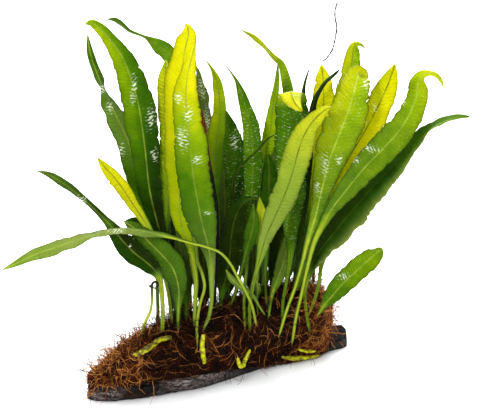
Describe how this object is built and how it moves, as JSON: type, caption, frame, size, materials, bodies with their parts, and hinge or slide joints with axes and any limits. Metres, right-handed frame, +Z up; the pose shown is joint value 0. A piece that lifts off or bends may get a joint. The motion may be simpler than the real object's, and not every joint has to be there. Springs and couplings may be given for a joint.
{
  "type": "java fern on driftwood",
  "caption": "Java fern with a fan of long ribbon fronds on thin petioles, rising from a fibrous root mat that grips a low piece of dark driftwood.",
  "frame": {"origin": "on the flat underside of the driftwood, under the middle of its length", "axes": "+Z up, +X to the right along the spread of the fronds, -Y towards the viewer of the picture"},
  "size_m": [0.2852, 0.1574, 0.2425],
  "materials": {
    "driftwood": "matte",
    "roots": "matte",
    "rhizome": "satin",
    "fiddlehead": "satin",
    "dry_root": "matte",
    "frond_yellow": "satin",
    "frond_bright": "satin",
    "frond_mid": "satin",
    "frond_dark": "satin",
    "frond_pale": "satin",
    "frond_brown": "matte"
  },
  "bodies": {
    "root": {"dead_brown_frond": "frond_brown", "dried_root": "dry_root", "driftwood": "driftwood", "fiddlehead": "fiddlehead", "fiddlehead_small": "fiddlehead", "frond_arching_yellow": "frond_yellow", "frond_back_yellow": "frond_yellow", "frond_behind_far_right": "frond_mid", "frond_behind_inner": "frond_mid", "frond_behind_left": "frond_mid", "frond_behind_low": "frond_mid", "frond_behind_middle": "frond_mid", "frond_behind_right": "frond_mid", "frond_behind_short": "frond_mid", "frond_behind_tall": "frond_mid", "frond_behind_tall_right": "frond_mid", "frond_blue_green": "frond_dark", "frond_broad_right": "frond_bright", "frond_centre_pale": "frond_pale", "frond_curled_back": "frond_mid", "frond_dark_crossing": "frond_dark", "frond_dark_inner": "frond_dark", "frond_drooping_tip": "frond_bright", "frond_edge_on": "frond_dark", "frond_far_right": "frond_dark", "frond_folded_tip": "frond_mid", "frond_front_broad": "frond_bright", "frond_hooked_right": "frond_bright", "frond_inner_bright": "frond_mid", "frond_inner_left": "frond_mid", "frond_long_left": "frond_mid", "frond_low_right": "frond_bright", "frond_middle_dark": "frond_dark", "frond_middle_green": "frond_mid", "frond_middle_yellow": "frond_bright", "frond_narrow_left": "frond_mid", "frond_narrow_pale": "frond_pale", "frond_needle_tip": "frond_dark", "frond_olive": "frond_dark", "frond_ribbed_left": "frond_mid", "frond_ribbed_low": "frond_mid", "frond_right_hidden": "frond_mid", "frond_slim_middle": "frond_bright", "frond_small_left": "frond_mid", "frond_speckled": "frond_mid", "frond_tall_left": "frond_mid", "frond_tall_yellow": "frond_yellow", "frond_thin_arching": "frond_dark", "frond_tiny": "frond_mid", "frond_twisted_left": "frond_dark", "frond_underside_front": "frond_pale", "frond_veined_yellow": "frond_yellow", "frond_yellow_left": "frond_yellow", "frond_young_yellow": "frond_yellow", "rhizome_left": "rhizome", "rhizome_right": "rhizome", "rhizome_stub": "rhizome", "rhizome_tip": "rhizome", "rhizome_upper_right": "rhizome", "root_mat": "roots"}
  },
  "joints": []
}
